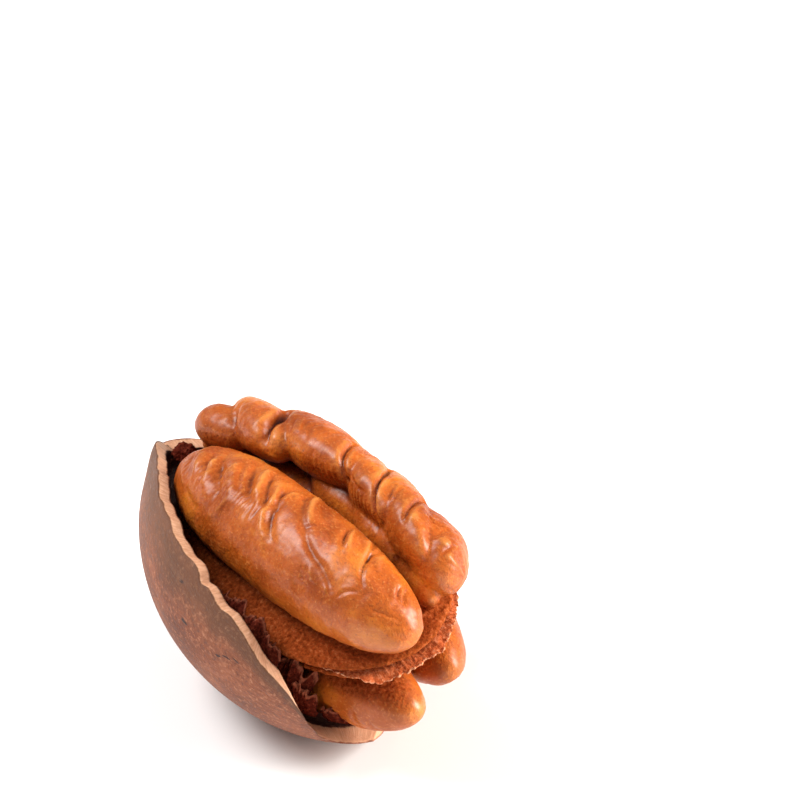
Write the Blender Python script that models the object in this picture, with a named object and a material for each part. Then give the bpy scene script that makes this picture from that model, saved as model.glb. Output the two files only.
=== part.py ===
"""An opened pecan: the kernel's two halves, with the septum between them, in what is left of the shell.

Sizes are in millimetres until a mesh is made, which is in metres, +Z up. The nut's long axis runs along X.
The apex is at -X, where the shell is whole, and the base is at +X, where the shell has broken away.
The nut frame (u, v, w) has u along the nut's axis, v to its near side and w up. The kernel has a frame of
its own (u, p, n), rolled in the shell: p lies in the septum's plane and n stands on it.
"""

import math

import bmesh
import bpy
import numpy as np
from mathutils import Vector

MM = 0.001

# The nut as it lies: the centre of its outline in the part's frame, and how far the base end dips
NUT_CENTRE = np.array([-0.55, 0.0, 12.66])
DIP = math.radians(2.3)
AXIS_U = np.array([math.cos(DIP), 0.0, -math.sin(DIP)])
AXIS_V = np.array([0.0, -1.0, 0.0])
AXIS_W = np.array([math.sin(DIP), 0.0, math.cos(DIP)])

# Shell
HALF_LENGTH = 18.5
RADIUS = 12.9
APEX_POINT = 2.2
APEX_POINT_SPREAD = 0.26
APEX_SHIFT = np.array([2.0, 2.8])
APEX_SHIFT_SPREAD = 0.5
APEX_RIDGES = 4
APEX_RIDGE_HEIGHT = 0.16
WALL_AT_RIM = 1.15
WALL_AT_BOTTOM = 1.35
INNER_RIB_HEIGHT = 0.6
INNER_RIB_ANGLE = -109.0
INNER_RIB_WIDTH = 9.0
FLAT_SPOT_LEVEL = 0.0

# The broken rim: profile angle from the apex (radians) against the angle round the axis (degrees)
NEAR_RIM = ((0.0, 38.0), (0.44, 39.5), (0.764, 38.0), (0.971, 34.0), (1.158, 31.0), (1.358, 27.0),
            (1.514, 24.5), (1.600, 22.6), (1.622, 20.4), (1.688, 20.2), (1.798, 17.0), (1.882, 15.0),
            (1.947, 12.2), (1.979, 9.6), (2.044, 5.0), (2.115, 0.5), (2.173, -4.0), (2.231, -10.5),
            (2.262, -20.0))
FAR_RIM = ((0.0, -190.0), (0.30, -190.0), (0.60, -195.0), (0.90, -197.0), (1.25, -190.0), (1.50, -174.0),
           (1.70, -155.0), (1.86, -134.0), (1.98, -114.0), (2.08, -99.0), (2.18, -88.0), (2.262, -80.0))
RIM_END = 2.262
RIM_CHIP = 0.020
SHELL_ROWS = 24
SHELL_COLUMNS = 36

# Kernel
KERNEL_CENTRE = np.array([0.0, -0.1, 1.15])
KERNEL_ROLL = math.radians(19.0)
HALF_GAP = 0.65
LOBE_ROWS = 44
LOBE_COLUMNS = 22

# Septum and packing tissue
SEPTUM_THICKNESS = 0.7
SEPTUM_CENTRE_U = 1.2
SEPTUM_HALF_LENGTH = 15.9
SEPTUM_HALF_WIDTH = 9.1
PACKING_THICKNESS = 0.6
PACKING_CLEARANCE = 0.6


def nut_point(u, v, w):
    """A point of the nut frame in the part's frame, in millimetres."""
    return NUT_CENTRE + u * AXIS_U + v * AXIS_V + w * AXIS_W


def kernel_point(u, p, n):
    """A point of the kernel frame in the part's frame, in millimetres."""
    v = p * math.cos(KERNEL_ROLL) + n * math.sin(KERNEL_ROLL)
    w = -p * math.sin(KERNEL_ROLL) + n * math.cos(KERNEL_ROLL)
    return nut_point(u + KERNEL_CENTRE[0], v + KERNEL_CENTRE[1], w + KERNEL_CENTRE[2])


def smooth_between(table, x):
    """A value read from a table of (x, value) rows, with a smooth slope through the rows."""
    xs = [row[0] for row in table]
    ys = [row[1] for row in table]
    if x <= xs[0]:
        return ys[0]
    if x >= xs[-1]:
        return ys[-1]
    k = max(i for i in range(len(xs) - 1) if xs[i] <= x)
    slopes = []
    for i in (k, k + 1):
        before, after = max(i - 1, 0), min(i + 1, len(xs) - 1)
        slopes.append((ys[after] - ys[before]) / (xs[after] - xs[before]))
    step = xs[k + 1] - xs[k]
    t = (x - xs[k]) / step
    return (ys[k] * (1 + 2 * t) * (1 - t) ** 2 + step * slopes[0] * t * (1 - t) ** 2
            + ys[k + 1] * t * t * (3 - 2 * t) + step * slopes[1] * t * t * (t - 1))


def bell(x, width):
    """1 at x = 0, falling to 0 past a few widths."""
    return math.exp(-((x / width) ** 2))


def material(name, colour, roughness):
    made = bpy.data.materials.new(name)
    made.use_nodes = True
    shader = made.node_tree.nodes["Principled BSDF"]
    shader.inputs["Base Color"].default_value = (*colour, 1.0)
    shader.inputs["Roughness"].default_value = roughness
    shader.inputs["Metallic"].default_value = 0.0
    return made


def object_from(name, points, faces, finish, smooth=True):
    """A mesh object from points in millimetres, with its faces turned outwards."""
    mesh = bpy.data.meshes.new(name)
    mesh.from_pydata([tuple(np.asarray(q) * MM) for q in points], [], faces)
    work = bmesh.new()
    work.from_mesh(mesh)
    bmesh.ops.recalc_face_normals(work, faces=work.faces)
    work.to_mesh(mesh)
    work.free()
    if smooth:
        mesh.shade_smooth()
    made = bpy.data.objects.new(name, mesh)
    bpy.context.scene.collection.objects.link(made)
    mesh.materials.append(finish)
    return made


def apply_modifiers(target):
    """The object's mesh as its modifiers leave it."""
    graph = bpy.context.evaluated_depsgraph_get()
    mesh = bpy.data.meshes.new_from_object(target.evaluated_get(graph))
    target.modifiers.clear()
    target.data = mesh


def join_solids(target, others, operation="UNION"):
    """One body from solids that overlap, by a Boolean; a difference takes the others away."""
    for other in others:
        boolean = target.modifiers.new(operation.lower(), "BOOLEAN")
        boolean.operation = operation
        boolean.solver = "EXACT"
        boolean.object = other
    apply_modifiers(target)
    for other in others:
        bpy.data.objects.remove(other)


def cut_by_plane(target, point, normal):
    """Keeps what lies on the side that the normal points to, and closes the cut with a flat face."""
    work = bmesh.new()
    work.from_mesh(target.data)
    geometry = work.verts[:] + work.edges[:] + work.faces[:]
    cut = bmesh.ops.bisect_plane(work, geom=geometry, plane_co=Vector(point * MM),
                                 plane_no=Vector(normal), clear_inner=True)
    edges = [e for e in cut["geom_cut"] if isinstance(e, bmesh.types.BMEdge)]
    if edges:
        bmesh.ops.contextual_create(work, geom=edges)
    bmesh.ops.recalc_face_normals(work, faces=work.faces)
    work.to_mesh(target.data)
    work.free()


def shell_radius(angle, turn):
    """The shell's outer radius at a profile angle from the apex and a turn round the axis, in radians."""
    ridges = APEX_RIDGE_HEIGHT * math.cos(APEX_RIDGES * turn) * bell(angle - 0.55, 0.3)
    return RADIUS * math.sin(angle) + ridges * min(1.0, angle / 0.3)


def shell_wall(angle, turn):
    """The wall's thickness: thicker at the bottom, with the low rib that runs between the kernel's lobes."""
    down = 0.5 - 0.5 * math.sin(turn)
    wall = WALL_AT_RIM + (WALL_AT_BOTTOM - WALL_AT_RIM) * down ** 2
    off = (math.degrees(turn) - INNER_RIB_ANGLE + 180.0) % 360.0 - 180.0
    return wall + INNER_RIB_HEIGHT * bell(off, INNER_RIB_WIDTH) * bell(angle - 1.45, 0.55)


def rim_turns(angle):
    """Where the near and far rims stand at a profile angle, in degrees round the axis, with small chips."""
    near = smooth_between(NEAR_RIM, angle)
    far = smooth_between(FAR_RIM, angle)
    near += 0.5 * math.sin(17 * angle) + 0.4 * math.sin(41 * angle + 1.0)
    far += 1.3 * math.sin(13 * angle + 2.0) + 0.8 * math.sin(31 * angle)
    return near, far


def shell_point(row, share, depth):
    """A point of the shell: row from the apex (0) to the broken end (1), share from the near rim (0) to
    the far rim (1), depth from the outside (0) to the inside (1)."""
    end = RIM_END + RIM_CHIP * (math.sin(23 * share) + 0.6 * math.sin(57 * share + 1.0))
    angle = end * row
    near, far = rim_turns(angle)
    turn = math.radians(near + (far - near) * share)
    wall = depth * shell_wall(angle, turn)
    point = (1 - 0.4 * depth) * APEX_POINT * bell(angle, APEX_POINT_SPREAD)
    u = -(HALF_LENGTH - wall) * math.cos(angle) - point
    r = shell_radius(angle, turn) - wall * math.sin(angle)
    shift = APEX_SHIFT * bell(angle, APEX_SHIFT_SPREAD)
    return nut_point(u, r * math.cos(turn) + shift[0], r * math.sin(turn) + shift[1])


def make_shell(finish):
    """The shell as one grid outside and one inside, both from the apex out, bridged round the broken rim."""
    points, faces, index = [], [], {}
    for depth in (0, 1):
        for i in range(SHELL_ROWS + 1):
            for j in range(SHELL_COLUMNS + 1):
                if i == 0 and j > 0:
                    index[(depth, i, j)] = index[(depth, 0, 0)]
                    continue
                index[(depth, i, j)] = len(points)
                points.append(shell_point(i / SHELL_ROWS, j / SHELL_COLUMNS, depth))
    for depth in (0, 1):
        for i in range(SHELL_ROWS):
            for j in range(SHELL_COLUMNS):
                face = tuple(dict.fromkeys((index[(depth, i, j)], index[(depth, i + 1, j)],
                                            index[(depth, i + 1, j + 1)], index[(depth, i, j + 1)])))
                faces.append(face if depth == 0 else face[::-1])
    rim = [((i, 0), (i + 1, 0)) for i in range(SHELL_ROWS)]
    rim += [((SHELL_ROWS, j), (SHELL_ROWS, j + 1)) for j in range(SHELL_COLUMNS)]
    rim += [((i + 1, SHELL_COLUMNS), (i, SHELL_COLUMNS)) for i in range(SHELL_ROWS)]
    for a, b in rim:
        faces.append((index[(0, *a)], index[(1, *a)], index[(1, *b)], index[(0, *b)]))
    shell = object_from("shell", points, faces, finish)
    cut_by_plane(shell, np.array([0.0, 0.0, FLAT_SPOT_LEVEL]), (0.0, 0.0, 1.0))
    return shell


def lobe(name, finish, ends, centre, radii, lean, bow, fullness, drift=(0.0, 0.0), creases=(), rows=LOBE_ROWS,
         columns=LOBE_COLUMNS):
    """One swollen lobe: an ellipse carried along the kernel, drawn in at both ends and bowed like the nut.

    creases holds (u, depth, width, turn, spread, slant): a fold across the lobe at u, cut in over part of
    the way round, centred on turn and fading over spread, both in degrees."""
    points, faces = [], []
    lean = math.radians(lean)
    for i in range(1, rows):
        x = 0.45 * (2 * i / rows - 1) - 0.55 * math.cos(math.pi * i / rows)
        girth = math.sqrt(max(0.0, 1.0 - abs(x) ** fullness))
        inward = 1.0 - bow * x * x
        u = (ends[0] + ends[1]) / 2 + x * (ends[1] - ends[0]) / 2
        for j in range(columns):
            turn = 2 * math.pi * j / columns
            swell = 1.0
            for at, depth, width, middle, spread, slant in creases:
                off = (math.degrees(turn) - middle + 180.0) % 360.0 - 180.0
                swell -= depth / radii[0] * bell(u - at - slant * off / 90.0, width) * bell(off, spread)
            a = radii[0] * girth * swell * math.cos(turn)
            b = radii[1] * girth * swell * math.sin(turn)
            p = centre[0] * inward + drift[0] * x + a * math.cos(lean) - b * math.sin(lean)
            n = centre[1] * inward + drift[1] * x + a * math.sin(lean) + b * math.cos(lean)
            points.append(kernel_point(u, p, n))
    for i in range(rows - 2):
        for j in range(columns):
            k = (j + 1) % columns
            faces.append((i * columns + j, i * columns + k, (i + 1) * columns + k, (i + 1) * columns + j))
    for x, first in ((-1.0, 0), (1.0, (rows - 2) * columns)):
        u = ends[0] if x < 0 else ends[1]
        inward = 1.0 - bow
        points.append(kernel_point(u, centre[0] * inward + drift[0] * x, centre[1] * inward + drift[1] * x))
        for j in range(columns):
            faces.append((len(points) - 1, first + j, first + (j + 1) % columns))
    return object_from(name, points, faces, finish)


# Folds across the lobes, as (u, depth, width, turn, spread, slant)
FOLDS_A = ((-12.2, 0.35, 0.7, 100.0, 50.0, -2.5), (-9.6, 0.30, 0.6, 100.0, 50.0, -2.5),
           (-6.6, 0.35, 0.6, 100.0, 50.0, -2.5), (-3.6, 0.30, 0.6, 105.0, 45.0, -2.5),
           (-0.4, 0.40, 0.6, 110.0, 50.0, -3.0), (3.2, 0.45, 0.7, 105.0, 50.0, -4.5),
           (7.0, 0.35, 0.7, 110.0, 40.0, -3.0), (10.6, 0.35, 0.7, 110.0, 40.0, -3.0),
           (13.6, 0.30, 0.6, 100.0, 45.0, -2.5))
FOLDS_B = ((-3.0, 0.40, 0.8, 110.0, 70.0, -4.0), (2.2, 0.65, 0.8, 110.0, 80.0, -4.0),
           (7.7, 0.35, 0.8, 110.0, 70.0, -3.5), (11.4, 0.30, 0.7, 110.0, 60.0, -3.0))
FOLDS_TIP = ((-14.8, 0.40, 0.8, 110.0, 70.0, -3.0),)
FOLDS_BELOW = ((-9.0, 0.45, 1.0, -80.0, 70.0, 0.5), (-4.0, 0.55, 1.0, -90.0, 70.0, 0.5),
               (1.0, 0.45, 1.0, -85.0, 70.0, 0.5), (6.0, 0.50, 1.0, -90.0, 70.0, 0.5),
               (11.0, 0.35, 0.9, -90.0, 60.0, 0.5))


def kernel_half(name, finish, side, lobes, flange):
    """The lobes and the flange that joins them, cut flat where the half faces the septum."""
    made = [lobe(name if k == 0 else f"{name}_lobe", finish, **spec) for k, spec in enumerate(lobes)]
    made.append(lobe(f"{name}_flange", finish, rows=18, columns=24, **flange))
    join_solids(made[0], made[1:])
    corners = [kernel_point(u, p, side * n) for u in (-30.0, 30.0) for p in (-20.0, 20.0)
               for n in (HALF_GAP, HALF_GAP - 20.0)]
    sides = [(0, 1, 3, 2), (4, 6, 7, 5), (0, 4, 5, 1), (2, 3, 7, 6), (0, 2, 6, 4), (1, 5, 7, 3)]
    beyond = object_from(f"{name}_cutter", corners, sides, finish, smooth=False)
    join_solids(made[0], [beyond], "DIFFERENCE")
    return made[0]


def make_upper_half(finish):
    near = dict(ends=(-15.2, 17.8), centre=(2.3, 5.4), radii=(4.6, 4.2), lean=-25.0, bow=0.32,
                fullness=2.5, drift=(-0.6, 0.3), creases=FOLDS_A)
    far = dict(ends=(-13.0, 14.8), centre=(-6.4, 4.7), radii=(2.8, 3.5), lean=-24.0, bow=0.05,
               fullness=2.7, drift=(0.1, -0.7), creases=FOLDS_B, columns=20, rows=34)
    tip = dict(ends=(-19.1, -5.6), centre=(-4.5, 4.8), radii=(2.3, 3.0), lean=-24.0, bow=0.0,
               fullness=2.8, drift=(-2.2, 0.2), creases=FOLDS_TIP, columns=18, rows=24)
    ledge = dict(ends=(-6.6, 14.3), centre=(-4.8, 2.5), radii=(2.2, 2.6), lean=-24.0, bow=0.0, fullness=3.0,
                 columns=16, rows=16)
    foot = dict(ends=(-16.4, 13.6), centre=(-4.9, 1.6), radii=(3.5, 1.65), lean=0.0, bow=0.2, fullness=2.4,
                drift=(-0.8, -0.3), columns=18, rows=18)
    flange = dict(ends=(-15.6, 16.0), centre=(0.0, 0.9), radii=(9.3, 1.5), lean=0.0, bow=0.0, fullness=2.2)
    return kernel_half("kernel_upper_half", finish, 1, (near, far, tip, ledge, foot), flange)


def make_lower_half(finish):
    near = dict(ends=(-14.6, 17.0), centre=(4.0, -5.8), radii=(4.3, 4.2), lean=25.0, bow=0.28,
                fullness=2.3, drift=(0.0, -0.3), creases=FOLDS_BELOW, columns=16, rows=24)
    far = dict(ends=(-14.2, 15.0), centre=(-3.7, -6.2), radii=(4.2, 4.1), lean=-25.0, bow=0.30,
               fullness=2.3, drift=(0.2, -1.1), creases=FOLDS_BELOW, columns=16, rows=24)
    flange = dict(ends=(-14.2, 15.6), centre=(0.0, -0.9), radii=(8.4, 1.4), lean=0.0, bow=0.0, fullness=2.2)
    return kernel_half("kernel_lower_half", finish, -1, (near, far), flange)


def thicken(sheet, thickness):
    """A sheet made solid, half to each side of it."""
    solid = sheet.modifiers.new("thickness", "SOLIDIFY")
    solid.thickness = thickness * MM
    solid.offset = 0.0
    apply_modifiers(sheet)


def make_septum(finish):
    """The thin partition between the halves, with a torn edge."""
    rings, columns = 3, 56
    points, faces = [kernel_point(SEPTUM_CENTRE_U, 0.0, 0.0)], []
    for i in range(1, rings + 1):
        share = (i / rings) ** 0.7
        for j in range(columns):
            turn = 2 * math.pi * j / columns
            torn = 0.25 * math.sin(11 * turn) + 0.2 * math.sin(23 * turn + 1.0) if i == rings else 0.0
            u = SEPTUM_CENTRE_U + (SEPTUM_HALF_LENGTH * share + torn) * math.cos(turn)
            p = (SEPTUM_HALF_WIDTH * share + torn) * math.sin(turn)
            points.append(kernel_point(u, p, 0.0))
    for j in range(columns):
        faces.append((0, 1 + j, 1 + (j + 1) % columns))
        for i in range(rings - 1):
            a = 1 + i * columns
            b = a + columns
            k = (j + 1) % columns
            faces.append((a + j, b + j, b + k, a + k))
    septum = object_from("septum", points, faces, finish)
    thicken(septum, SEPTUM_THICKNESS)
    return septum


def packing_flap(name, finish, angles, turns, lean_in, seed, follow=0.0):
    """A torn flap of the packing tissue that lines the shell, leaning off the wall towards its torn edge.
    turns are from its root to its torn edge, in degrees; follow is the share of the near rim's turn added."""
    columns, rows = 20, 3
    points, faces = [], []
    for i in range(rows + 1):
        up = i / rows
        for j in range(columns + 1):
            along = j / columns
            angle = angles[0] + (angles[1] - angles[0]) * along
            tear = 2.0 * math.sin(19 * along + seed) + 1.6 * math.sin(43 * along + 2 * seed)
            fade = math.sin(math.pi * along) ** 0.5 if 0 < j < columns else 0.0
            height = (turns[1] - turns[0] + tear) * (0.3 + 0.7 * fade)
            turn = math.radians(turns[0] + follow * rim_turns(angle)[0] + height * up)
            r = shell_radius(angle, turn) - shell_wall(angle, turn) - PACKING_CLEARANCE - PACKING_THICKNESS / 2
            r -= lean_in * up ** 2 * (1.0 + 0.35 * math.sin(13 * along + seed))
            u = -HALF_LENGTH * math.cos(angle)
            points.append(nut_point(u, r * math.cos(turn), r * math.sin(turn)))
    for i in range(rows):
        for j in range(columns):
            a = i * (columns + 1) + j
            faces.append((a, a + 1, a + columns + 2, a + columns + 1))
    flap = object_from(name, points, faces, finish)
    thicken(flap, PACKING_THICKNESS)
    return flap


def packing_crumb(name, finish, centre, size, seed):
    """A crumb of packing tissue: a small rounded lump with a knobbly skin."""
    rows, columns = 10, 14
    points, faces = [], []
    for i in range(rows + 1):
        dip = math.pi * i / rows
        for j in range(columns if 0 < i < rows else 1):
            turn = 2 * math.pi * j / columns
            knob = 1.0 + 0.16 * math.sin(3 * turn + seed) * math.sin(dip) + 0.1 * math.sin(5 * dip + 2 * turn)
            u = centre[0] + size[0] * knob * math.cos(dip)
            v = centre[1] + size[1] * knob * math.sin(dip) * math.cos(turn)
            w = centre[2] + size[2] * knob * math.sin(dip) * math.sin(turn)
            points.append(nut_point(u, v, w))
    last = len(points) - 1
    for j in range(columns):
        k = (j + 1) % columns
        faces.append((0, 1 + j, 1 + k))
        faces.append((last, last - columns + k, last - columns + j))
        for i in range(rows - 2):
            a = 1 + i * columns
            faces.append((a + j, a + columns + j, a + columns + k, a + k))
    return object_from(name, points, faces, finish)


def build():
    for old in list(bpy.data.objects):
        bpy.data.objects.remove(old)
    shell_finish = material("shell", (0.32, 0.17, 0.10), 0.62)
    kernel_finish = material("kernel", (0.62, 0.27, 0.08), 0.38)
    septum_finish = material("septum", (0.42, 0.17, 0.09), 0.70)
    packing_finish = material("packing", (0.20, 0.07, 0.05), 0.80)
    make_shell(shell_finish)
    make_upper_half(kernel_finish)
    make_lower_half(kernel_finish)
    make_septum(septum_finish)
    packing_flap("packing_flap", packing_finish, (1.72, 2.16), (-48.0, -20.0), 0.9, 0.7)
    packing_flap("packing_strip", packing_finish, (1.66, 1.98), (-15.0, -3.0), 0.5, 2.1, follow=1.0)
    packing_crumb("packing_crumb", packing_finish, (-16.9, 2.2, 3.9), (0.75, 0.85, 0.6), 0.5)


build()
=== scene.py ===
import math

import bpy
import numpy as np
from mathutils import Matrix, Vector, noise


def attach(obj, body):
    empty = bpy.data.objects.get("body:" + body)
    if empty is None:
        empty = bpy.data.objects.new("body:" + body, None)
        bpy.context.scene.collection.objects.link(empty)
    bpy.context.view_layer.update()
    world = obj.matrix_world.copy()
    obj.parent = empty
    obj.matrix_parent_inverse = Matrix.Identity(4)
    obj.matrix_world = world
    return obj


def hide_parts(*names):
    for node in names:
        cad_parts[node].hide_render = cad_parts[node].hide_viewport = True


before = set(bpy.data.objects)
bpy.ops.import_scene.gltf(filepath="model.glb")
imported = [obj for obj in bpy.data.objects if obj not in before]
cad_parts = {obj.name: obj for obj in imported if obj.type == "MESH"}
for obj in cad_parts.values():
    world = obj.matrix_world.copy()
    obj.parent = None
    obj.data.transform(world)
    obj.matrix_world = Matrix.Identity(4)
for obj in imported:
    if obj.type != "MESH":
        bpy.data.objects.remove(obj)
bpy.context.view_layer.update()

# The nut is shaped in millimetres, in the part's frame, and each piece is made life size as its last step.
MM = 0.001
# A flat sheet is given this thickness at first, which tells its two sides apart
BLANK = 0.1

# The nut as it lies, and the kernel's own frame in it: u along the nut, p across, n up from the septum
NUT_CENTRE = np.array([-0.55, 0.0, 12.66])
DIP = math.radians(2.3)
AXIS_U = np.array([math.cos(DIP), 0.0, -math.sin(DIP)])
AXIS_V = np.array([0.0, -1.0, 0.0])
AXIS_W = np.array([math.sin(DIP), 0.0, math.cos(DIP)])
KERNEL_ROLL = math.radians(19.0)
KERNEL_CENTRE = NUT_CENTRE - 0.1 * AXIS_V + 1.15 * AXIS_W
AXIS_P = math.cos(KERNEL_ROLL) * AXIS_V - math.sin(KERNEL_ROLL) * AXIS_W
AXIS_N = math.sin(KERNEL_ROLL) * AXIS_V + math.cos(KERNEL_ROLL) * AXIS_W

# Shell
HALF_LENGTH = 18.5
RADIUS = 12.9
APEX_POINT = 2.2
APEX_POINT_SPREAD = 0.26
APEX_SHIFT = (2.0, 2.8)
APEX_SHIFT_SPREAD = 0.5
APEX_RIDGES = 4
APEX_RIDGE_HEIGHT = 0.16
WALL_AT_RIM = 1.15
WALL_AT_BOTTOM = 1.35
INNER_RIB_HEIGHT = 0.6
INNER_RIB_TURN = -109.0
INNER_RIB_WIDTH = 9.0
BREAK_SLANT = 0.13
BREAK_WAVE = 0.012
NEAR_RIM = ((0.0, 38.0), (0.44, 39.5), (0.764, 38.0), (0.971, 34.0), (1.158, 31.0), (1.358, 27.0),
            (1.514, 24.5), (1.600, 22.6), (1.622, 20.4), (1.688, 20.2), (1.798, 17.0), (1.882, 15.0),
            (1.947, 12.2), (1.979, 9.6), (2.044, 5.0), (2.115, 0.5), (2.173, -4.0), (2.231, -10.5),
            (2.262, -20.0))
FAR_RIM = ((0.0, -190.0), (0.30, -190.0), (0.60, -195.0), (0.90, -197.0), (1.25, -190.0), (1.50, -174.0),
           (1.70, -155.0), (1.86, -134.0), (1.98, -114.0), (2.08, -99.0), (2.18, -88.0), (2.262, -80.0))
RIM_END = 2.262
# The shell's reach round and along, in millimetres, as its patterns take it
SHELL_ROUND = 46.0
SHELL_ALONG = 42.0
SHELL_ROWS = 170
SHELL_COLUMNS = 210
RIM_CUTS = 5

# Kernel
UPPER_GRID = 0.166
LOWER_GRID = 0.18
SMOOTHING = 4
# Each half's flat side keeps this far from the middle of the septum
HALF_GAP = 0.65
# Creases deeper than this have sharper bottoms
SHALLOW_CREASE = -0.25
# Millimetres round a lobe for each degree of its turn
TURN_PACE = 0.077

# Septum
SEPTUM_CENTRE_U = 1.2
SEPTUM_HALF_LENGTH = 15.9
SEPTUM_HALF_WIDTH = 9.1
SEPTUM_THICKNESS = 0.6
SEPTUM_THINNING = 0.5

# Packing
PACKING_THICKNESS = 0.45
PACKING_THINNING = 0.3
PACKING_CLEARANCE = 0.75
STRIP_ROWS = 24
# The flap's shreds: angles from the apex, turns, lean, seed, share of the rim's turn
SHREDS = (((1.84, 1.98), (-40.0, -8.0), 1.4, 11.0, 0.6), ((1.93, 2.07), (-44.0, -14.0), 2.4, 4.0, 0.6),
          ((2.03, 2.12), (-46.0, -24.0), 1.0, 17.0, 0.6), ((2.08, 2.20), (-62.0, -46.0), 0.7, 23.0, 0.4))

# Studio
ROOM_LIGHT = 0.30
WHITE = (1.0, 1.0, 1.0)
WARM_WHITE = (1.0, 0.98, 0.93)
LAMP_DISTANCE = 0.5
FLOOR_SIDE = 6.0

# Camera
VIEW_TURN = math.radians(54.0)
VIEW_HEIGHT = math.radians(30.5)
LENS = 136.9
SENSOR = 36.0
DISTANCE = 260.0
KERNEL_IN_PHOTO = (314.0, 561.0)
PHOTO_SIDE = 800.0


def bell(x, width):
    """1 at x = 0, falling to 0 past a few widths."""
    return np.exp(-((x / width) ** 2))


def ramp(x, low, high):
    """0 below low, 1 above high, with a smooth slope between."""
    t = np.clip((x - low) / (high - low), 0.0, 1.0)
    return t * t * (3 - 2 * t)


def nut_point(u, v, w):
    """Points of the nut frame in the part's frame, in millimetres."""
    return (NUT_CENTRE + np.multiply.outer(u, AXIS_U) + np.multiply.outer(v, AXIS_V)
            + np.multiply.outer(w, AXIS_W))


def kernel_point(u, p, n):
    """Points of the kernel frame in the part's frame, in millimetres."""
    return (KERNEL_CENTRE + np.multiply.outer(u, AXIS_U) + np.multiply.outer(p, AXIS_P)
            + np.multiply.outer(n, AXIS_N))


def in_kernel(points):
    """The u, p and n of points of the part's frame."""
    away = points - KERNEL_CENTRE
    return away @ AXIS_U, away @ AXIS_P, away @ AXIS_N


def new_piece(name):
    """The primitive that was just added, under its own name."""
    piece = bpy.context.active_object
    piece.name = piece.data.name = name
    return piece


def points_of(piece, what="co"):
    """A row for each vertex: its place, or its normal."""
    flat = np.empty(len(piece.data.vertices) * 3)
    piece.data.vertices.foreach_get(what, flat)
    return flat.reshape(-1, 3)


def move_to(piece, points):
    """Puts each vertex at its row of the points."""
    piece.data.vertices.foreach_set("co", np.ascontiguousarray(points, dtype=float).ravel())
    piece.data.update()


def edges_of(piece):
    """A row for each edge: its two vertices."""
    flat = np.empty(len(piece.data.edges) * 2, dtype=int)
    piece.data.edges.foreach_get("vertices", flat)
    return flat.reshape(-1, 2)


def raise_skin(piece, height):
    """Moves each vertex along its normal."""
    move_to(piece, points_of(piece) + points_of(piece, "normal") * np.reshape(height, (-1, 1)))


def relaxed(points, edges, rounds):
    """The points after each has been drawn to the middle of its neighbours, round by round."""
    count = np.bincount(edges.ravel(), minlength=len(points))[:, None]
    for _ in range(rounds):
        points = np.stack([np.bincount(edges[:, 0], points[edges[:, 1], k], len(points))
                           + np.bincount(edges[:, 1], points[edges[:, 0], k], len(points))
                           for k in range(3)], axis=1) / count
    return points


def relief(piece, rounds, depth):
    """How far each vertex stands out of the skin around it: 0 in a fold, 0.5 on a plain, 1 on a ridge."""
    points = points_of(piece)
    out = np.sum((points - relaxed(points, edges_of(piece), rounds)) * points_of(piece, "normal"), axis=1)
    return np.clip(0.5 + out / depth / 2, 0.0, 1.0)


def note(piece, name, values):
    """Keeps a number for each vertex, which the piece's finish reads."""
    made = piece.data.attributes.new(name, "FLOAT", "POINT")
    made.data.foreach_set("value", np.ascontiguousarray(values, dtype=float))


def grain(points, size, seed=0.0):
    """Noise of about -1 to 1 at each point, with lumps of the given size along each axis, in millimetres."""
    return np.array([noise.noise(spot) for spot in (points / np.asarray(size) + seed).tolist()])


def apply(piece, kind, **settings):
    """A modifier, set and applied."""
    bpy.ops.object.select_all(action="DESELECT")
    piece.select_set(True)
    bpy.context.view_layer.objects.active = piece
    made = piece.modifiers.new(kind.lower(), kind)
    for key, value in settings.items():
        setattr(made, key, value)
    bpy.ops.object.modifier_apply(modifier=made.name)


def join(parts):
    """The parts as one piece, which keeps the name of the first."""
    bpy.ops.object.select_all(action="DESELECT")
    for part in parts:
        part.select_set(True)
    bpy.context.view_layer.objects.active = parts[0]
    bpy.ops.object.join()
    return parts[0]


def face_outwards(piece):
    """Closes the seams and turns every face outwards."""
    bpy.ops.object.select_all(action="DESELECT")
    piece.select_set(True)
    bpy.context.view_layer.objects.active = piece
    bpy.ops.object.mode_set(mode="EDIT")
    bpy.ops.mesh.select_all(action="SELECT")
    bpy.ops.mesh.remove_doubles(threshold=0.0005)
    bpy.ops.mesh.normals_make_consistent(inside=False)
    bpy.ops.object.mode_set(mode="OBJECT")


def smooth_between(table, x):
    """Values read from a table of (x, value) rows, with a smooth slope through the rows."""
    xs, ys = (np.array(column) for column in zip(*table))
    slopes = np.array([(ys[min(k + 1, len(xs) - 1)] - ys[max(k - 1, 0)])
                       / (xs[min(k + 1, len(xs) - 1)] - xs[max(k - 1, 0)]) for k in range(len(xs))])
    x = np.clip(x, xs[0], xs[-1])
    k = np.clip(np.searchsorted(xs, x, side="right") - 1, 0, len(xs) - 2)
    step = xs[k + 1] - xs[k]
    t = (x - xs[k]) / step
    return (ys[k] * (1 + 2 * t) * (1 - t) ** 2 + step * slopes[k] * t * (1 - t) ** 2
            + ys[k + 1] * t * t * (3 - 2 * t) + step * slopes[k + 1] * t * t * (t - 1))


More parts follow.
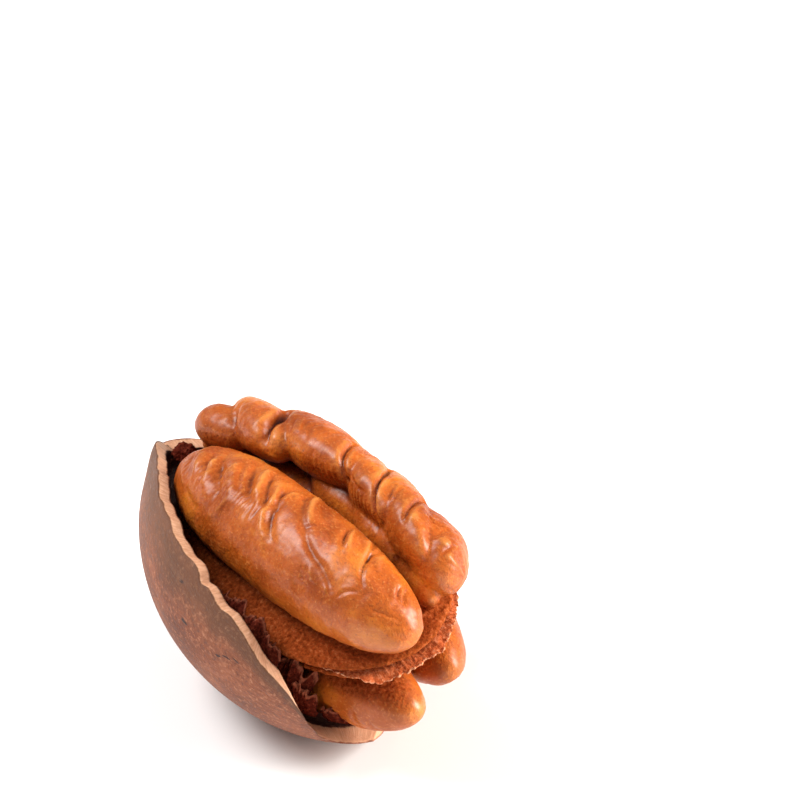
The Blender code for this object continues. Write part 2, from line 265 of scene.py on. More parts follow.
class Signal:
    """A node's output, which takes part in sums as a number does."""

    def __init__(self, finish, socket):
        self.finish = finish
        self.socket = socket

    def _reckon(self, operation, first, second):
        return self.finish.node("ShaderNodeMath", {"operation": operation}, {0: first, 1: second})

    def __add__(self, other):
        return self._reckon("ADD", self, other)

    def __radd__(self, other):
        return self._reckon("ADD", other, self)

    def __sub__(self, other):
        return self._reckon("SUBTRACT", self, other)

    def __rsub__(self, other):
        return self._reckon("SUBTRACT", other, self)

    def __mul__(self, other):
        return self._reckon("MULTIPLY", self, other)

    def __rmul__(self, other):
        return self._reckon("MULTIPLY", other, self)


class Finish:
    """A material on a Principled shader, and the nodes that make it vary."""

    def __init__(self, name, **plain):
        self.material = bpy.data.materials.new(name)
        self.material.use_nodes = True
        self.tree = self.material.node_tree
        self.shader = self.tree.nodes["Principled BSDF"]
        for key, value in plain.items():
            self.shader.inputs[key.replace("_", " ")].default_value = value
        self.place = self.node("ShaderNodeTexCoord", output="Object")

    def node(self, kind, settings=None, sockets=None, output=0):
        """A node of the type, with its settings made first and then its sockets set or linked."""
        made = self.tree.nodes.new(kind)
        for key, value in (settings or {}).items():
            if key == "stops":
                while len(made.color_ramp.elements) < len(value):
                    made.color_ramp.elements.new(1.0)
                for element, (at, tint) in zip(made.color_ramp.elements, value):
                    element.position = at
                    element.color = (*tint, 1.0)
            else:
                setattr(made, key, value)
        for key, value in (sockets or {}).items():
            if isinstance(value, Signal):
                self.tree.links.new(value.socket, made.inputs[key])
            else:
                made.inputs[key].default_value = value
        return Signal(self, made.outputs[output])

    def feed(self, socket, signal):
        """Leads the signal into the shader's socket."""
        self.tree.links.new(signal.socket, self.shader.inputs[socket])

    def noted(self, name):
        """A number that was kept on the mesh."""
        return self.node("ShaderNodeAttribute", {"attribute_name": name}, output="Fac")

    def clouds(self, size, detail=3.0, roughness=0.55, place=None):
        """Noise from 0 to 1 with lumps of the given size in millimetres."""
        return self.node("ShaderNodeTexNoise", {}, {"Vector": place or self.place, "Scale": 1.0 / (size * MM),
                                                    "Detail": detail, "Roughness": roughness})

    def shaped(self, signal, low, high, to_low=0.0, to_high=1.0):
        """The signal spread smoothly from its low and high values to the new ones."""
        return self.node("ShaderNodeMapRange", {"interpolation_type": "SMOOTHSTEP"},
                         {"Value": signal, "From Min": low, "From Max": high,
                          "To Min": to_low, "To Max": to_high})

    def tinted(self, signal, *stops):
        """The signal as a colour, read from stops of (value, colour)."""
        return self.node("ShaderNodeValToRGB", {"stops": stops}, {"Fac": signal})

    def blend(self, share, below, above):
        """Colour below, with colour above laid over it."""
        pair = [tint if isinstance(tint, Signal) else (*tint, 1.0) for tint in (below, above)]
        return self.node("ShaderNodeMix", {"data_type": "RGBA"}, {0: share, 6: pair[0], 7: pair[1]}, output=2)

    def bumps(self, *layers):
        """Bumps, each a signal and its height in millimetres, one on another."""
        normal = None
        for height, depth in layers:
            sockets = {"Height": height, "Distance": depth * MM, "Strength": 1.0}
            if normal is not None:
                sockets["Normal"] = normal
            normal = self.node("ShaderNodeBump", {}, sockets)
        self.feed("Normal", normal)


def colour(red, green, blue):
    """A colour as a screen shows it, from 0 to 255, as the light value that the shader works in."""
    return tuple(((c / 255 + 0.055) / 1.055) ** 2.4 if c > 10 else c / 3294.6 for c in (red, green, blue))


def finished(piece, finish, nodes):
    """Life size, smooth, in its finish, riding on the nut's one body and standing for its CAD nodes."""
    piece.data.transform(Matrix.Scale(MM, 4))
    piece.data.polygons.foreach_set("use_smooth", [True] * len(piece.data.polygons))
    piece.data.materials.clear()
    piece.data.materials.append(finish.material)
    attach(piece, "root")
    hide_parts(*nodes)


# Kernel

def lobe(name, ends, centre, radii, lean=0.0, bow=0.0, fullness=2.4, drift=(0.0, 0.0), rake=(0.0, 0.0),
         fine=64):
    """A swollen lobe made from a ball: an ellipse carried along the kernel, drawn in at both ends and bowed.
    rake shears it, so that its ends lie askew across the kernel."""
    bpy.ops.mesh.primitive_uv_sphere_add(segments=fine, ring_count=2 * fine, radius=1.0)
    piece = new_piece(name)
    ball = points_of(piece)
    dip = np.arccos(np.clip(-ball[:, 2], -1.0, 1.0))
    # The rings stand between even steps along the lobe and the ball's own steps
    x = 0.45 * (2 * dip / math.pi - 1) - 0.55 * np.cos(dip)
    turn = np.arctan2(ball[:, 1], ball[:, 0])
    u = (ends[0] + ends[1]) / 2 + x * (ends[1] - ends[0]) / 2
    girth = np.sqrt(np.clip(1.0 - np.abs(x) ** fullness, 0.0, 1.0))
    inward = 1.0 - bow * x * x
    lean = math.radians(lean)
    across = radii[0] * girth * np.cos(turn)
    high = radii[1] * girth * np.sin(turn)
    side = across * math.cos(lean) - high * math.sin(lean)
    rise = across * math.sin(lean) + high * math.cos(lean)
    p = centre[0] * inward + drift[0] * x + side
    n = centre[1] * inward + drift[1] * x + rise
    move_to(piece, kernel_point(u + rake[0] * side + rake[1] * rise, p, n))
    return piece


def round_lobe(points, ends, centre, radii, lean=0.0, bow=0.0, drift=(0.0, 0.0), fullness=2.4):
    """How far along and round a lobe the points lie, in millimetres and degrees, and how far out of its
    middle. The fullness is a value of the lobe's that plays no part here."""
    u, p, n = in_kernel(points)
    x = np.clip((2 * u - ends[0] - ends[1]) / (ends[1] - ends[0]), -1.0, 1.0)
    side = p - centre[0] * (1 - bow * x * x) - drift[0] * x
    rise = n - centre[1] * (1 - bow * x * x) - drift[1] * x
    lean = math.radians(lean)
    across = (side * math.cos(lean) + rise * math.sin(lean)) / radii[0]
    high = (rise * math.cos(lean) - side * math.sin(lean)) / radii[1]
    return u, np.degrees(np.arctan2(high, across)), np.hypot(across, high)


def fuse(parts, voxel, rounds):
    """One skin over parts that overlap, softened a little."""
    piece = join(parts)
    apply(piece, "REMESH", mode="VOXEL", voxel_size=voxel, adaptivity=0.0)
    apply(piece, "SMOOTH", factor=0.5, iterations=rounds)
    face_outwards(piece)
    return piece


def flatten_at(piece, level):
    """Flattens a kernel half at its flat side: what lies under the level, or over one that is below 0."""
    u, p, n = in_kernel(points_of(piece))
    side = 1.0 if level > 0 else -1.0
    move_to(piece, kernel_point(u, p, side * np.maximum(side * n, abs(level))))


def wrinkled(along, turn, rows):
    """The height of the skin's ribs and creases. A row is where one starts and ends, as places along the
    kernel and turns round the lobe, then its bend, width and height, which is below 0 for a crease."""
    height = np.zeros_like(along)
    for start, start_turn, end, end_turn, bend, width, rise in rows:
        run = np.array([end - start, (end_turn - start_turn) * TURN_PACE])
        length = math.hypot(*run)
        x, y = along - start, (turn - start_turn) * TURN_PACE
        share = (x * run[0] + y * run[1]) / length ** 2
        off = (x * run[1] - y * run[0]) / length - 4 * bend * share * (1 - share)
        beyond = length * np.maximum(np.maximum(-share, share - 1), 0.0)
        fade = np.clip(4 * share * (1 - share), 0.2, 1.0) ** 0.5
        sharpness = 2.0 if rise > SHALLOW_CREASE else 1.6
        height += rise * fade * np.exp(-(np.hypot(off, beyond) / width) ** sharpness)
    return height


def drawn_round(along, turn, length, width, seed):
    """Noise whose lumps have the given length along the kernel and width round the lobe."""
    return grain(np.stack([along / length, turn * TURN_PACE / width, 0 * along], axis=1), 1.0, seed)


NEAR_LOBE = dict(ends=(-15.2, 17.5), centre=(2.3, 5.4), radii=(4.6, 4.2), lean=-25.0, bow=0.32, fullness=2.8,
                 drift=(-0.5, 0.3))
NEAR_WRINKLES = ((-12.9, 142, -11.4, 95, 0.2, 0.45, -0.20), (-11.5, 142, -9.0, 88, 0.2, 0.65, 0.42),
                 (-10.1, 136, -7.6, 94, 0.2, 0.3, -0.24), (-8.5, 127, -6.3, 82, 0.2, 0.55, 0.36),
                 (-8.8, 142, -4.6, 92, 0.3, 0.5, -0.40), (-6.3, 137, -2.9, 94, 0.2, 0.75, 0.44),
                 (-3.0, 96, -4.6, 61, -0.4, 0.5, 0.22), (-5.7, 139, -2.8, 107, 0.1, 0.2, -0.14),
                 (-5.1, 142, -2.2, 106, 0.1, 0.3, 0.14), (-5.0, 152, -1.0, 106, 0.3, 0.5, -0.42),
                 (-3.1, 151, -0.6, 110, 0.2, 0.45, 0.38), (-2.6, 154, 1.0, 108, 0.2, 0.3, -0.34),
                 (-0.6, 143, 1.3, 117, 0.1, 0.3, 0.20), (0.0, 145, 1.9, 115, 0.1, 0.2, -0.22),
                 (1.0, 142, 2.7, 84, 0.7, 0.5, 0.42), (0.5, 157, 3.7, 87, 0.9, 0.45, -0.46),
                 (1.4, 167, 5.5, 118, 0.3, 0.4, -0.30), (2.2, 169, 5.3, 124, 0.3, 0.5, 0.42),
                 (3.4, 168, 6.4, 138, 0.2, 0.45, -0.22), (5.1, 117, 6.4, 132, 0.0, 0.18, -0.16),
                 (5.6, 118, 9.0, 97, 0.3, 0.35, -0.26), (9.0, 97, 11.2, 80, -0.2, 0.4, -0.22),
                 (7.4, 160, 9.2, 130, 0.1, 0.2, -0.40), (7.7, 161, 9.8, 129, 0.1, 0.35, 0.30),
                 (9.0, 168, 10.6, 152, 0.0, 0.6, 0.22), (9.4, 178, 11.5, 141, 0.1, 0.2, -0.34),
                 (10.5, 176, 12.9, 111, 0.5, 0.22, -0.36), (11.3, 165, 12.5, 142, 0.1, 0.3, 0.18),
                 (12.1, 128, 13.2, 111, 0.1, 0.2, 0.10), (12.8, 96, 11.9, 67, 0.3, 0.2, -0.18),
                 (14.4, 158, 15.4, 137, 0.1, 0.18, -0.24), (14.7, 169, 15.7, 146, 0.1, 0.18, -0.24),
                 (14.6, 89, 16.6, 107, 0.0, 0.15, -0.12), (7.4, 58, 9.2, 68, 0.0, 1.2, -0.34),
                 (8.0, 67, 8.9, 70, 0.0, 0.16, 0.12), (8.6, 86, 9.6, 77, 0.1, 0.2, 0.14),
                 (7.9, 79, 8.9, 66, 0.1, 0.18, -0.12), (10.6, 81, 11.1, 72, 0.0, 0.16, 0.12),
                 (11.9, 82, 12.0, 67, 0.0, 0.18, 0.12), (-9.6, 74, -6.2, 60, 0.3, 0.3, -0.12),
                 (-12.0, 84, -9.4, 72, 0.2, 0.25, 0.12))
# The far ridge's swellings from the apex to the base, which lean over the groove
BEAD = dict(lean=-24.0, rake=(1.3, 0.4))
END_BEAD = dict(lean=-24.0, rake=(0.5, 0.2))
FAR_BEADS = (
    dict(ends=(-18.5, -12.0), centre=(-2.7, 4.3), radii=(1.9, 2.4), fullness=2.6, drift=(-1.0, 0.2),
         **END_BEAD),
    dict(ends=(-17.6, -11.5), centre=(-2.7, 2.5), radii=(1.7, 2.0), fullness=3.0, drift=(-1.1, 0.0)),
    dict(ends=(-15.4, -7.8), centre=(-4.5, 5.0), radii=(2.0, 3.3), fullness=3.0, drift=(-0.9, 0.1), **BEAD),
    dict(ends=(-10.9, 0.4), centre=(-6.4, 5.2), radii=(2.1, 3.6), fullness=2.8, drift=(-1.1, 0.1), **BEAD),
    dict(ends=(-2.2, 5.6), centre=(-6.6, 4.8), radii=(2.3, 3.6), fullness=3.4, drift=(-0.1, 0.0), **BEAD),
    dict(ends=(2.7, 11.0), centre=(-6.4, 4.4), radii=(2.8, 3.9), fullness=2.8, drift=(0.0, -0.2), **BEAD),
    dict(ends=(7.0, 14.9), centre=(-6.1, 3.8), radii=(2.7, 3.2), fullness=2.7, drift=(0.1, -0.3),
         **END_BEAD))
# What stands under the ridge, beside the groove
LEDGES = (
    dict(ends=(-6.4, 1.2), centre=(-5.2, 2.6), radii=(1.9, 2.4), fullness=8.0, **BEAD),
    dict(ends=(0.2, 7.4), centre=(-4.9, 2.9), radii=(2.2, 2.8), fullness=6.0, **BEAD),
    dict(ends=(3.0, 13.2), centre=(-4.7, 2.3), radii=(2.5, 2.4), fullness=2.8, **BEAD),
    dict(ends=(-16.4, 13.6), centre=(-4.9, 1.6), radii=(3.4, 1.6), bow=0.2, fullness=2.4, drift=(-0.8, -0.3)))
UPPER_FLANGE = dict(ends=(-15.6, 16.0), centre=(0.0, 0.9), radii=(9.3, 1.5), fullness=2.2)
# How high above the septum the flange's torn surface gives way to the lobes' waxy skin
FLANGE_TOP = (2.1, 3.1)
# Where the near lobe's shoulder is crinkled: its turn and spread, and where the crinkles start and stop
SHOULDER_TURN = 108.0
SHOULDER_SPREAD = 34.0
SHOULDER_STARTS = (-14.5, -10.0)
SHOULDER_STOPS = (1.0, 4.0)
# The middle of the ridge: along, across, up
RIDGE_LINE = ((-19.0, -1.6, 4.0), (-15.5, -2.9, 4.3), (-12.5, -4.7, 4.7), (-6.0, -6.4, 5.0), (0.5, -6.6, 4.7),
              (5.5, -6.4, 4.4), (9.5, -6.1, 3.8), (14.5, -6.1, 3.3))
RIDGE_WRINKLES = ((-15.2, 38, -12.0, 12, 0.0, 0.9, -0.55), (-14.0, 100, -12.0, 24, 0.2, 0.3, -0.35),
                  (-10.3, 130, -7.4, 26, 0.2, 0.45, -1.0), (-7.7, 92, -6.2, 60, 0.0, 0.16, -0.12),
                  (-6.7, 98, -5.2, 70, 0.0, 0.16, -0.12), (-5.2, 90, -3.9, 66, 0.0, 0.16, -0.08),
                  (-1.4, 118, 1.4, 55, 0.2, 0.28, -0.60), (1.9, 66, 4.4, 62, 0.3, 0.2, -0.16),
                  (2.6, 138, 7.0, 42, 0.2, 0.22, -0.65), (4.6, 96, 6.9, 50, 0.0, 0.3, 0.16),
                  (5.8, 100, 6.8, 80, 0.0, 0.16, -0.20), (6.6, 101, 7.4, 81, 0.0, 0.16, -0.20),
                  (8.0, 128, 9.9, 74, 0.2, 0.25, -0.45), (10.2, 110, 10.9, 98, 0.0, 0.6, 0.20),
                  (12.9, 97, 13.6, 85, 0.0, 0.9, 0.22), (14.3, 84, 14.9, 74, 0.0, 0.7, 0.18),
                  (10.1, 88, 10.5, 78, 0.0, 0.35, 0.20), (10.2, 103, 11.5, 110, 0.2, 0.16, -0.18),
                  (12.0, 118, 12.6, 80, 0.1, 0.25, -0.16), (13.7, 104, 14.2, 72, 0.1, 0.2, -0.16))
# Fine creases down the ledge and in the pit beside it
PANEL_STRIPES = tuple((2.4 + 0.62 * k, 64 - 2 * k, 2.9 + 0.62 * k, 24, 0.0, 0.16, -0.16) for k in range(7))
PIT_STRIPES = tuple((-2.6 + 0.7 * k, 58, -2.1 + 0.7 * k, 24, 0.0, 0.18, -0.12) for k in range(5))


def make_upper_kernel():
    """The upper half: the near lobe with its wrinkled shoulder, the beaded far ridge, and the flange."""
    parts = [lobe("kernel_upper", fine=96, **NEAR_LOBE)]
    parts += [lobe("bead", **bead) for bead in FAR_BEADS + LEDGES]
    parts.append(lobe("flange", **UPPER_FLANGE))
    piece = fuse(parts, UPPER_GRID, SMOOTHING)
    points = points_of(piece)
    u, turn, out = round_lobe(points, **NEAR_LOBE)
    near = 1.0 - ramp(out, 1.08, 1.25)
    height = near * wrinkled(u, turn, NEAR_WRINKLES)
    shoulder = near * bell(turn - SHOULDER_TURN, SHOULDER_SPREAD)
    shoulder *= ramp(u, *SHOULDER_STARTS) * (1.0 - ramp(u, *SHOULDER_STOPS))
    height += 0.20 * shoulder * drawn_round(u, turn, 0.42, 1.5, 3.0)
    height += 0.04 * near * drawn_round(u, turn, 0.8, 2.4, 9.0)
    # Creases of the ridge and the ledge are placed by their turn round the ridge's middle line
    line = [np.interp(u, *zip(*[(row[0], row[k]) for row in RIDGE_LINE])) for k in (1, 2)]
    _, p, n = in_kernel(points)
    ridge_turn = np.degrees(np.arctan2(n - line[1], p - line[0]))
    height += (1.0 - near) * wrinkled(u, ridge_turn, RIDGE_WRINKLES + PANEL_STRIPES + PIT_STRIPES)
    height += (1.0 - near) * 0.05 * drawn_round(u, ridge_turn, 0.45, 1.4, 5.0)
    height += 0.08 * grain(points, 1.6) + 0.04 * grain(points, 0.8, 4.0) + 0.02 * grain(points, 0.4, 7.0)
    raise_skin(piece, height)
    flatten_at(piece, HALF_GAP)
    note(piece, "flange", 1.0 - ramp(n, *FLANGE_TOP))
    return piece


NEAR_LOWER = dict(ends=(-14.6, 17.0), centre=(4.0, -5.8), radii=(4.3, 4.2), lean=25.0, bow=0.28,
                  fullness=2.3, drift=(0.0, -0.3))
FAR_LOWER = dict(ends=(-14.2, 15.0), centre=(-3.7, -6.2), radii=(4.2, 4.1), lean=-25.0, bow=0.30,
                 fullness=2.3, drift=(0.2, -1.1))
# From where to where the lower half's skin turns crumbly, up towards the septum
CRUMBS_UP = (-3.6, -2.4)
LOWER_FLANGE = dict(ends=(-14.2, 15.6), centre=(0.0, -0.9), radii=(8.4, 1.4), fullness=2.2)
LOWER_WRINKLES = tuple((at, -30, at + 1.0, -150, 0.5, 0.7, -0.45) for at in (-9.5, -4.5, 0.5, 5.5, 10.5))
LOWER_WRINKLES += tuple((at, -10, at + 0.6, -75, 0.3, 0.3, -0.16)
                        for at in (-7.0, -2.0, 3.0, 8.0, 12.5, 14.0))


def make_lower_kernel():
    """The lower half: two lobes side by side, which show their ends under the septum, and the flange."""
    parts = [lobe("kernel_lower", **NEAR_LOWER), lobe("far", **FAR_LOWER), lobe("flange", **LOWER_FLANGE)]
    piece = fuse(parts, LOWER_GRID, SMOOTHING)
    points = points_of(piece)
    _, p, n = in_kernel(points)
    height = np.zeros(len(points))
    for half, share in ((NEAR_LOWER, ramp(p, -0.5, 0.5)), (FAR_LOWER, 1.0 - ramp(p, -0.5, 0.5))):
        u, turn, _ = round_lobe(points, **half)
        height += share * wrinkled(u, turn, LOWER_WRINKLES)
    crumbs = ramp(n, *CRUMBS_UP)
    height += crumbs * 0.12 * grain(points, 0.45, 4.0)
    height += 0.05 * grain(points, 1.6) + 0.018 * grain(points, 0.4, 7.0)
    raise_skin(piece, height)
    flatten_at(piece, -HALF_GAP)
    note(piece, "flange", crumbs)
    return piece


def finish_kernel():
    """Waxy orange-brown skin, with painted shade in its folds and hollows and painted highlights on its
    ridges, and fine grains that break up its shine.
    """
    finish = Finish("kernel_skin", Subsurface_Weight=0.10, Subsurface_Scale=1.0, Coat_Roughness=0.36,
                    Specular_IOR_Level=0.0, Subsurface_Radius=(0.0010, 0.0003, 0.0001))
    stand, hollow, flange = finish.noted("stand"), finish.noted("hollow"), finish.noted("flange")
    tone = finish.clouds(5.0, 3.0)
    base = finish.tinted(tone, (0.32, colour(144, 62, 16)), (0.52, colour(180, 86, 22)),
                         (0.70, colour(212, 120, 34)))
    blush = finish.shaped(finish.clouds(2.6, 4.0, 0.6), 0.48, 0.7)
    base = finish.blend(blush * 0.35, base, colour(166, 76, 42))
    speck = finish.clouds(0.27, 2.0, 0.6)
    base = finish.blend(finish.shaped(speck, 0.52, 0.78, 0.0, 0.45), base, colour(222, 140, 76))
    base = finish.blend(finish.shaped(speck, 0.44, 0.24, 0.0, 0.5), base, colour(122, 46, 12))
    # Painted light: ridges are lightened as painted highlights and creases are darkened as painted shade
    base = finish.blend(finish.shaped(stand, 0.54, 0.9, 0.0, 0.5), base, colour(230, 156, 80))
    base = finish.blend(finish.shaped(stand, 0.47, 0.14, 0.0, 0.7), base, colour(92, 30, 6))
    # Painted shade: the broad hollows and the groove between the lobes are darkened
    base = finish.blend(finish.shaped(hollow, 0.5, 0.24, 0.0, 0.95), base, colour(80, 24, 6))
    crumb = finish.clouds(0.34, 3.0, 0.65)
    torn = finish.tinted(crumb, (0.32, colour(96, 34, 12)), (0.55, colour(148, 66, 30)),
                         (0.78, colour(192, 108, 66)))
    base = finish.blend(flange * 0.9, base, torn)
    finish.feed("Base Color", base)
    finish.feed("Roughness", finish.shaped(speck, 0.3, 0.7, 0.45, 0.6) + flange * 0.3)
    finish.feed("Coat Weight", finish.shaped(tone, 0.3, 0.7, 0.6, 0.95) * (1 - flange))
    finish.bumps((speck, 0.12), (finish.clouds(0.7, 3.0), 0.14))
    return finish


# Shell

def rim_turns(angle):
    """Where the near and far rims stand at a profile angle, in degrees round the axis, with small chips."""
    near = smooth_between(NEAR_RIM, angle) + 0.5 * np.sin(17 * angle) + 0.4 * np.sin(41 * angle + 1.0)
    far = smooth_between(FAR_RIM, angle) + 1.3 * np.sin(13 * angle + 2.0) + 0.8 * np.sin(31 * angle)
    return near, far


def shell_wall(angle, turn):
    """The wall's thickness, with the low rib that runs between the kernel's lobes."""
    wall = WALL_AT_RIM + (WALL_AT_BOTTOM - WALL_AT_RIM) * (0.5 - 0.5 * np.sin(turn)) ** 2
    off = (np.degrees(turn) - INNER_RIB_TURN + 180.0) % 360.0 - 180.0
    return wall + INNER_RIB_HEIGHT * bell(off, INNER_RIB_WIDTH) * bell(angle - 1.45, 0.55)


def shell_point(row, share, depth):
    """Points of the shell: row from the apex (0) to the broken end (1), share from the near rim (0) to the
    far rim (1), depth from the outside (0) to the inside (1)."""
    angle = row * (RIM_END + BREAK_WAVE * (np.sin(9 * share) + 0.4 * np.sin(25 * share + 1.0)))
    angle = angle - BREAK_SLANT * depth * ramp(row, 0.86, 1.0)
    near, far = rim_turns(angle)
    turn = np.radians(near + (far - near) * share)
    wall = depth * shell_wall(angle, turn)
    ridges = APEX_RIDGE_HEIGHT * np.cos(APEX_RIDGES * turn)
    ridges = ridges * bell(angle - 0.55, 0.3) * np.clip(angle / 0.3, 0, 1)
    radius = RADIUS * np.sin(angle) + ridges - wall * np.sin(angle)
    point = (1 - 0.4 * depth) * APEX_POINT * bell(angle, APEX_POINT_SPREAD)
    shift = bell(angle, APEX_SHIFT_SPREAD)
    return nut_point(-(HALF_LENGTH - wall) * np.cos(angle) - point,
                     radius * np.cos(turn) + APEX_SHIFT[0] * shift,
                     radius * np.sin(turn) + APEX_SHIFT[1] * shift)


# Black marks on the shell: row, share, length along, width
SHELL_MARKS = ((0.685, 0.126, 0.016, 0.006), (0.795, 0.130, 0.012, 0.005), (0.822, 0.124, 0.014, 0.004),
               (0.846, 0.110, 0.014, 0.004), (0.660, 0.050, 0.016, 0.004), (0.05, 0.30, 0.06, 0.10),
               (0.10, 0.62, 0.05, 0.016), (0.20, 0.50, 0.05, 0.008), (0.30, 0.70, 0.06, 0.007),
               (0.13, 0.80, 0.04, 0.012))


def make_shell():
    """A grid laid over the shell's outside and made solid, with its rim divided and its inside laid on the
    inner wall."""
    bpy.ops.mesh.primitive_grid_add(x_subdivisions=SHELL_COLUMNS, y_subdivisions=SHELL_ROWS, size=2.0)
    piece = new_piece("shell_fine")
    outer = len(piece.data.vertices)
    apply(piece, "SOLIDIFY", thickness=BLANK, offset=-1.0)
    bpy.ops.object.mode_set(mode="EDIT")
    bpy.ops.mesh.select_mode(type="EDGE")
    bpy.ops.mesh.select_all(action="DESELECT")
    bpy.ops.object.mode_set(mode="OBJECT")
    # The edges that join the outer grid to the inner one
    piece.data.edges.foreach_set("select", (edges_of(piece) < outer).sum(axis=1) == 1)
    bpy.ops.object.mode_set(mode="EDIT")
    bpy.ops.mesh.subdivide(number_cuts=RIM_CUTS)
    bpy.ops.object.mode_set(mode="OBJECT")
    flat = points_of(piece)
    share, row = (flat[:, 0] + 1) / 2, (flat[:, 1] + 1) / 2
    depth = np.clip(-flat[:, 2] / BLANK, 0.0, 1.0)
    points = shell_point(row, share, depth)
    # The small flat spot that it rests on
    points[:, 2] = np.maximum(points[:, 2], 0.0)
    move_to(piece, points)
    note(piece, "depth", depth)
    note(piece, "share", share)
    note(piece, "row", row)
    note(piece, "mark", sum(bell(row - at, length) * bell(share - beside, width)
                            for at, beside, length, width in SHELL_MARKS))
    face_outwards(piece)
    return piece


def finish_shell():
    """Brown and satin outside, with streaks that run from the apex to the base and a few black marks; pale
    and fibrous where it is broken; dark red-brown inside."""
    finish = Finish("shell_skin", Specular_IOR_Level=0.3)
    depth, share, row = finish.noted("depth"), finish.noted("share"), finish.noted("row")

    def drawn_out(row_length, wall_depth):
        """Places round the shell, along it and through its wall, squeezed where a pattern runs long."""
        return finish.node("ShaderNodeCombineXYZ", {}, {"X": share * (SHELL_ROUND * MM),
                                                        "Y": row * (row_length * MM),
                                                        "Z": depth * (wall_depth * MM)})

    length = drawn_out(5.0, 0.3)
    streak = finish.clouds(0.9, 5.0, 0.62, length)
    hair = finish.clouds(0.28, 3.0, 0.6, length)
    patch = finish.clouds(5.0, 3.0)
    fleck = finish.clouds(0.42, 3.0, 0.7)
    outside = finish.tinted(patch, (0.3, colour(112, 56, 32)), (0.5, colour(130, 69, 41)),
                            (0.7, colour(154, 86, 54)))
    outside = finish.blend(finish.shaped(streak, 0.46, 0.66, 0.0, 0.4), outside, colour(104, 62, 44))
    outside = finish.blend(finish.shaped(streak, 0.46, 0.28, 0.0, 0.3), outside, colour(176, 116, 90))
    outside = finish.blend(finish.shaped(fleck, 0.50, 0.70, 0.0, 0.75), outside, colour(190, 128, 96))
    outside = finish.blend(finish.shaped(fleck, 0.46, 0.28, 0.0, 0.75), outside, colour(78, 42, 28))
    near_rim = finish.shaped(share + (patch - 0.5) * 0.08, 0.13, 0.03)
    outside = finish.blend(near_rim * 0.7, outside, colour(92, 62, 42))
    mark = finish.shaped(finish.noted("mark") * hair, 0.22, 0.36)
    outside = finish.blend(mark * 0.9, outside, colour(26, 18, 17))
    fibre = finish.clouds(0.22, 3.0, 0.65, drawn_out(SHELL_ALONG, 0.2))
    grit = finish.clouds(0.6, 4.0, 0.65)
    broken = finish.tinted(fibre, (0.3, colour(192, 136, 102)), (0.5, colour(214, 160, 124)),
                           (0.7, colour(232, 184, 150)))
    broken = finish.blend(finish.shaped(grit, 0.52, 0.72, 0.0, 0.5), broken, colour(172, 110, 80))
    inside = finish.tinted(patch, (0.3, colour(40, 14, 10)), (0.7, colour(66, 26, 18)))
    inside = finish.blend(finish.shaped(grit, 0.5, 0.75, 0.0, 0.5), inside, colour(104, 50, 36))
    wander = (grit - 0.5) * 0.3
    base = finish.blend(finish.shaped(depth + wander, 0.02, 0.14), outside, broken)
    base = finish.blend(finish.shaped(depth + wander, 0.84, 1.0), base, inside)
    finish.feed("Base Color", base)
    finish.feed("Roughness", finish.shaped(fleck, 0.3, 0.7, 0.5, 0.68) + mark * -0.1)
    skin = finish.shaped(depth, 0.1, 0.0)
    finish.bumps((streak * skin, 0.08), (hair * skin, 0.04), (fleck, 0.07), (fibre * (1 - skin), 0.03))
    return finish


# Septum and packing

# How far the septum's torn edge stands out, against an oval, at turns from the base end
SEPTUM_EDGE = ((-180, 0.93), (-120, 0.93), (-60, 0.95), (-42, 0.975), (-29, 0.98), (-18, 0.96),
               (-10, 0.995), (-3, 0.965), (8, 0.975), (20, 1.0), (31, 1.005), (40, 0.97), (50, 0.93),
               (56, 0.915), (90, 0.93), (120, 0.93), (180, 0.93))


def make_septum():
    """The papery partition between the halves, thin and frayed along its torn edge."""
    bpy.ops.mesh.primitive_circle_add(vertices=170, radius=1.0, fill_type="TRIFAN")
    piece = new_piece("septum_sheet")
    apply(piece, "SUBSURF", levels=4, render_levels=4, subdivision_type="SIMPLE")
    apply(piece, "SOLIDIFY", thickness=BLANK, offset=0.0)
    flat = points_of(piece)
    reach = 1.0 - (1.0 - np.minimum(np.hypot(flat[:, 0], flat[:, 1]), 1.0)) ** 2
    turn = np.arctan2(flat[:, 1], flat[:, 0])
    # The tears follow the rim, so every point takes them from the spot of an oval that lies at its turn
    rim = np.stack([13 * np.cos(turn), 8 * np.sin(turn), 0 * turn], axis=1)
    torn = 0.30 * grain(rim, 1.3, 2.0) + 0.22 * grain(rim, 0.5, 5.0) + 0.14 * grain(rim, 0.2, 8.0)
    torn *= ramp(reach, 0.955, 1.0)
    stretch = reach * smooth_between(SEPTUM_EDGE, np.degrees(turn))
    u = SEPTUM_CENTRE_U + (SEPTUM_HALF_LENGTH * stretch + torn) * np.cos(turn)
    p = (SEPTUM_HALF_WIDTH * stretch + torn) * np.sin(turn)
    edge = ramp(reach, 0.88, 1.0)
    wave = 0.25 * grain(rim, 2.4, 1.0) + 0.06 * grain(rim, 0.8, 3.0)
    spots = np.stack([u, p, 0 * u], axis=1)
    crumbs = 0.10 * grain(spots, 0.5, 6.0) + 0.07 * grain(spots, 0.22, 9.0)
    thickness = SEPTUM_THICKNESS - SEPTUM_THINNING * edge
    n = flat[:, 2] / BLANK * thickness + edge * (wave - 0.1) + crumbs * np.sign(flat[:, 2])
    move_to(piece, kernel_point(u, p, n))
    note(piece, "fringe", ramp(reach, 0.965, 1.0))
    face_outwards(piece)
    return piece


